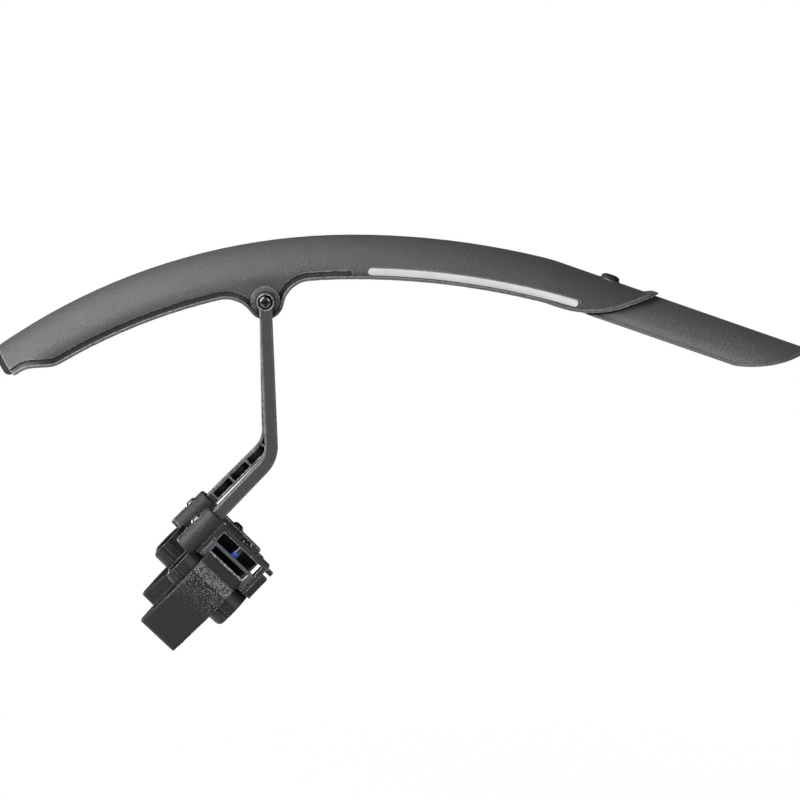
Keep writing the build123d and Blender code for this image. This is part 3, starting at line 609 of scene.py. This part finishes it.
def strap_corners(tip):
    """Corners of the strap's path in u and w, each with the radius of its bend."""
    fold = tip - STRAP_THICKNESS / 2
    return [
        (31.0, 11.15, 0.0), (17.85, 7.0, 1.9), (17.85, 3.05, 1.9), (22.4, 3.05, 3.0), (28.65, 9.4, 8.0),
        (STAY_SIDE, 10.2, 40.0), (fold, STRAP_FOLD[0], 4.5), (fold, STRAP_FOLD[1], 4.5),
        (STAY_SIDE, STRAP_BACK, 40.0), (23.9, STRAP_BACK, 20.0), (8.0, -6.0, 8.0), (2.7, -6.0, 0.0),
    ]


def rounded_path(corners):
    """Points at even steps along a path whose corners are rounded by arcs."""
    points = []
    last = Vector(corners[0][:2])
    for (x0, y0, _), (x1, y1, bend), (x2, y2, _) in zip(corners, corners[1:], corners[2:]):
        corner = Vector((x1, y1))
        back = (Vector((x0, y0)) - corner).normalized()
        ahead = (Vector((x2, y2)) - corner).normalized()
        opening = back.angle(ahead)
        reach = bend / tan(opening / 2)
        centre = corner + (back + ahead).normalized() * (bend / sin(opening / 2))
        start = corner + back * reach
        end = corner + ahead * reach
        points += even_steps(last, start)
        first = start - centre
        sweep = first.angle_signed(end - centre)
        count = max(3, int(abs(sweep) * bend / PATH_STEP))
        for step in range(count):
            angle = -sweep * step / count
            points.append(centre + Vector((first.x * cos(angle) - first.y * sin(angle),
                                           first.x * sin(angle) + first.y * cos(angle))))
        last = end
    return points + even_steps(last, Vector(corners[-1][:2])) + [Vector(corners[-1][:2])]


def even_steps(start, end):
    count = max(1, int((end - start).length / PATH_STEP))
    return [start.lerp(end, step / count) for step in range(count)]


def path_lengths(path):
    """Distance from the start at each point of a path."""
    lengths = [0.0]
    for before, after in zip(path, path[1:]):
        lengths.append(lengths[-1] + (after - before).length)
    return lengths


STRAP_PATHS = {side: rounded_path(strap_corners(facts["strap_tip"])) for side, facts in SIDES.items()}

# %% [markdown]
# The strap's face changes along its length. The flap ends in pale loop pile, and its upper part and the roll are
# smooth.
# The smooth part carries painted shade, darkest next to the pile, and the roll's crest is painted pale: partly pile,
# partly a painted highlight along its top. Below the flap the pile thins out to plain woven tape. Each vertex keeps
# its distance along the ribbon and whether it lies on the loop's outside, and the material reads both.

# %% Strap cloth
FLAP_PILE = (6.0, 7.5)
CREST = 14.4
TAPE_PILE = (32.0, 50.0)
ROLL_END = 20.0
CREST_SPREAD = (0.8, 1.5)
TAPE_SHARE = 0.6
LOOP_PITCH = 0.9 * MM
WEAVE_PITCH = 0.5 * MM
WEAVE_WANDER = 0.25
WEAVE_HEIGHT = 0.2
TUFT_RANGE = (0.55, 0.1)
WEAVE_GREYS = (26, 17)
LOOP_GREYS = (16, 185)
ROLL_SHADE = (0.6, 0.3)
ROLL_SHADE_GREY = 14
INNER_GREY = 8
CLOTH_ROUGHNESS = (0.6, 0.85)
CLOTH_SPECULAR = 0.25
PILE_HEIGHT = 0.4 * MM


def strap_cloth():
    material, tree, shader = start_material("strap_cloth")
    along = add(tree, "ShaderNodeAttribute", {"attribute_name": "along"}).outputs["Fac"]
    outer = add(tree, "ShaderNodeAttribute", {"attribute_name": "outer"}).outputs["Fac"]
    on_flap = spread(tree, along, *FLAP_PILE, 1.0, 0.0)
    to_crest = math(tree, "ABSOLUTE", math(tree, "SUBTRACT", along, CREST))
    # Painted highlight: the roll's crest takes the pale pile colour, partly pile and partly a highlight along the
    # roll's top.
    on_crest = spread(tree, to_crest, *CREST_SPREAD, 1.0, 0.0)
    past_roll = math(tree, "GREATER_THAN", along, ROLL_END)
    on_tape = math(tree, "MULTIPLY", past_roll, spread(tree, along, *TAPE_PILE, TAPE_SHARE, 0.0))
    pile = math(tree, "MAXIMUM", math(tree, "MAXIMUM", on_flap, on_crest), on_tape)
    place = tree.nodes.new("ShaderNodeTexCoord").outputs["Object"]
    loops = add(tree, "ShaderNodeTexVoronoi", {"feature": "F1"}, Vector=place, Scale=1 / LOOP_PITCH)
    weave = add(tree, "ShaderNodeTexVoronoi", {"distance": "CHEBYCHEV"}, Vector=place, Scale=1 / WEAVE_PITCH,
                Randomness=WEAVE_WANDER)
    grain = place_group(tree, MOULDED_GRAIN, Grain_Size=0.6 * MM, Patch_Size=5 * MM)
    near_loops = spread(tree, loops.outputs["Distance"], *TUFT_RANGE)
    tufts = math(tree, "MULTIPLY", near_loops, grain.outputs["Speckle"])
    threads = [grey(level, COOL) for level in WEAVE_GREYS]
    ground = mix_colour(tree, weave.outputs["Distance"], *threads)
    loop_colour = mix_colour(tree, tufts, *[grey(level) for level in LOOP_GREYS])
    before_roll_end = math(tree, "SUBTRACT", 1.0, past_roll)
    # Painted shade: the smooth part up to the roll's end is darkened, most next to the flap's pile.
    roll_shade = spread(tree, along, FLAP_PILE[1], CREST, *ROLL_SHADE)
    on_roll = math(tree, "MULTIPLY", roll_shade, before_roll_end)
    shaded = mix_colour(tree, on_roll, ground, grey(ROLL_SHADE_GREY))
    body = mix_colour(tree, pile, shaded, loop_colour)
    tree.links.new(mix_colour(tree, outer, grey(INNER_GREY), body), shader.inputs["Base Color"])
    tree.links.new(spread(tree, pile, 0, 1, *CLOTH_ROUGHNESS), shader.inputs["Roughness"])
    tuft_height = math(tree, "MULTIPLY", tufts, pile)
    height = math(tree, "ADD", tuft_height, math(tree, "MULTIPLY", weave.outputs["Distance"], WEAVE_HEIGHT))
    bump = add(tree, "ShaderNodeBump", Strength=1.0, Distance=PILE_HEIGHT, Height=height)
    tree.links.new(bump.outputs[0], shader.inputs["Normal"])
    shader.inputs["Specular IOR Level"].default_value = CLOTH_SPECULAR
    return material


STRAP_CLOTH = strap_cloth()
print("Strap cloth ready")

# %% [markdown]
# The ribbon itself is a closed skin: one ring of points round the tape's section at each step of the path, with
# rounded selvedges that wander a little. The rings are joined by quads, and a cap closes each end.

# %% Strap ribbons
ACROSS_STEPS = 14
EDGE_ROUND = 0.45
EDGE_FRAY = 0.12
FRAY_SEEDS = {"near": 3, "far": 5}


def ribbon_ring(offset):
    """The closed outline of the ribbon's section as pairs of a share across and a share of the thickness."""
    outer = [(step / ACROSS_STEPS, 0.5) for step in range(ACROSS_STEPS + 1)]
    inner = [(1 - step / ACROSS_STEPS, -0.5) for step in range(ACROSS_STEPS + 1)]
    return outer + [(1 + offset, 0.0)] + inner + [(-offset, 0.0)]


def path_normals(path):
    normals = []
    for index in range(len(path)):
        before = path[max(index - 1, 0)]
        after = path[min(index + 1, len(path) - 1)]
        run = (after - before).normalized()
        normals.append(Vector((-run.y, run.x)))
    return normals


def make_strap(side):
    path = STRAP_PATHS[side]
    lengths = path_lengths(path)
    normals = path_normals(path)
    ring = ribbon_ring(EDGE_ROUND / STRAP_WIDTH)
    fray = random.Random(FRAY_SEEDS[side])
    points, along, outer = [], [], []
    for centre, normal, length in zip(path, normals, lengths):
        edges = (fray.uniform(-EDGE_FRAY, EDGE_FRAY), fray.uniform(-EDGE_FRAY, EDGE_FRAY))
        for share, lift in ring:
            shift = edges[0] * (1 - share) + edges[1] * share
            spot = centre + normal * (lift * STRAP_THICKNESS)
            points.append(bracket_place(side, spot.x, STRAP_START + share * STRAP_WIDTH + shift, spot.y))
            along.append(length)
            front = -lift if length < ROLL_END else lift
            outer.append(front + 0.5)
    size = len(ring)
    faces = [(row * size + i, row * size + (i + 1) % size, (row + 1) * size + (i + 1) % size, (row + 1) * size + i)
             for row in range(len(path) - 1) for i in range(size)]
    faces += [tuple(range(size))[::-1], tuple(range((len(path) - 1) * size, len(path) * size))]
    mesh = bpy.data.meshes.new(side + "_strap_ribbon")
    mesh.from_pydata(points, [], faces)
    mesh.attributes.new("along", "FLOAT", "POINT").data.foreach_set("value", along)
    mesh.attributes.new("outer", "FLOAT", "POINT").data.foreach_set("value", outer)
    for face in mesh.polygons:
        face.use_smooth = len(face.vertices) == 4
    mesh.materials.append(STRAP_CLOTH)
    strap = bpy.data.objects.new(side + "_strap_ribbon", mesh)
    bpy.context.scene.collection.objects.link(strap)
    mesh.validate()
    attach(strap, side + "_bracket")
    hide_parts(side + "_strap")
    return strap


STRAPS = {side: make_strap(side) for side in SIDES}
print("Straps:", [len(s.data.polygons) for s in STRAPS.values()])

# %% [markdown]
# Loop pile never lies flat: single fibres stand up from the flap's end and from the roll's crest, and fray at the
# selvedges. Each fibre here is one thin leaning triangle, so thousands of them stay light.

# %% Strap pile
PILE_BANDS = ((0.1, 6.6, 2600), (13.4, 15.4, 2200), (20.0, 60.0, 500))
FIBRE_LENGTH = (0.35, 0.9)
FIBRE_WIDTH = 0.09
FRAY_SHARE = 0.012
FIBRE_GREYS = (56, 195)
FIBRE_ROUGHNESS = (0.5, 0.8)
PILE_SEEDS = {"near": 11, "far": 12}


def pile_fibre():
    material, tree, shader = start_material("pile_fibre")
    grain = place_group(tree, MOULDED_GRAIN, Grain_Size=0.4 * MM, Patch_Size=2 * MM)
    body = mix_colour(tree, grain.outputs["Patch"], *[grey(level) for level in FIBRE_GREYS])
    tree.links.new(body, shader.inputs["Base Color"])
    tree.links.new(spread(tree, grain.outputs["Speckle"], 0, 1, *FIBRE_ROUGHNESS), shader.inputs["Roughness"])
    return material


def make_pile(side, finish):
    path = STRAP_PATHS[side]
    lengths = path_lengths(path)
    normals = path_normals(path)
    chance = random.Random(PILE_SEEDS[side])
    points = []
    for low, high, count in PILE_BANDS:
        steps = [i for i, length in enumerate(lengths) if low <= length <= high]
        for _ in range(count):
            step = chance.choice(steps)
            flap = lengths[step] < ROLL_END
            out = -normals[step] if flap else normals[step]
            share = chance.random() if flap else chance.choice((0, 1)) + chance.uniform(-FRAY_SHARE, FRAY_SHARE)
            jitter = Vector((normals[step].y, -normals[step].x)) * chance.uniform(-PATH_STEP, PATH_STEP) / 2
            root = path[step] + out * (STRAP_THICKNESS / 2) + jitter
            lean = out + Vector((chance.uniform(-1, 1), chance.uniform(-1, 1)))
            tip = root + lean.normalized() * chance.uniform(*FIBRE_LENGTH)
            v = STRAP_START + share * STRAP_WIDTH
            drift = v + chance.uniform(-FIBRE_LENGTH[1], FIBRE_LENGTH[1])
            for spot, at in ((root, v - FIBRE_WIDTH / 2), (root, v + FIBRE_WIDTH / 2), (tip, drift)):
                points.append(bracket_place(side, spot.x, at, spot.y))
    mesh = bpy.data.meshes.new(side + "_strap_pile")
    mesh.from_pydata(points, [], [(i, i + 1, i + 2) for i in range(0, len(points), 3)])
    mesh.materials.append(finish)
    pile = bpy.data.objects.new(side + "_strap_pile", mesh)
    bpy.context.scene.collection.objects.link(pile)
    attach(pile, side + "_bracket")
    return pile


PILE_FIBRE = pile_fibre()
PILES = {side: make_pile(side, PILE_FIBRE) for side in SIDES}
print("Fibres:", {side: len(p.data.polygons) for side, p in PILES.items()})
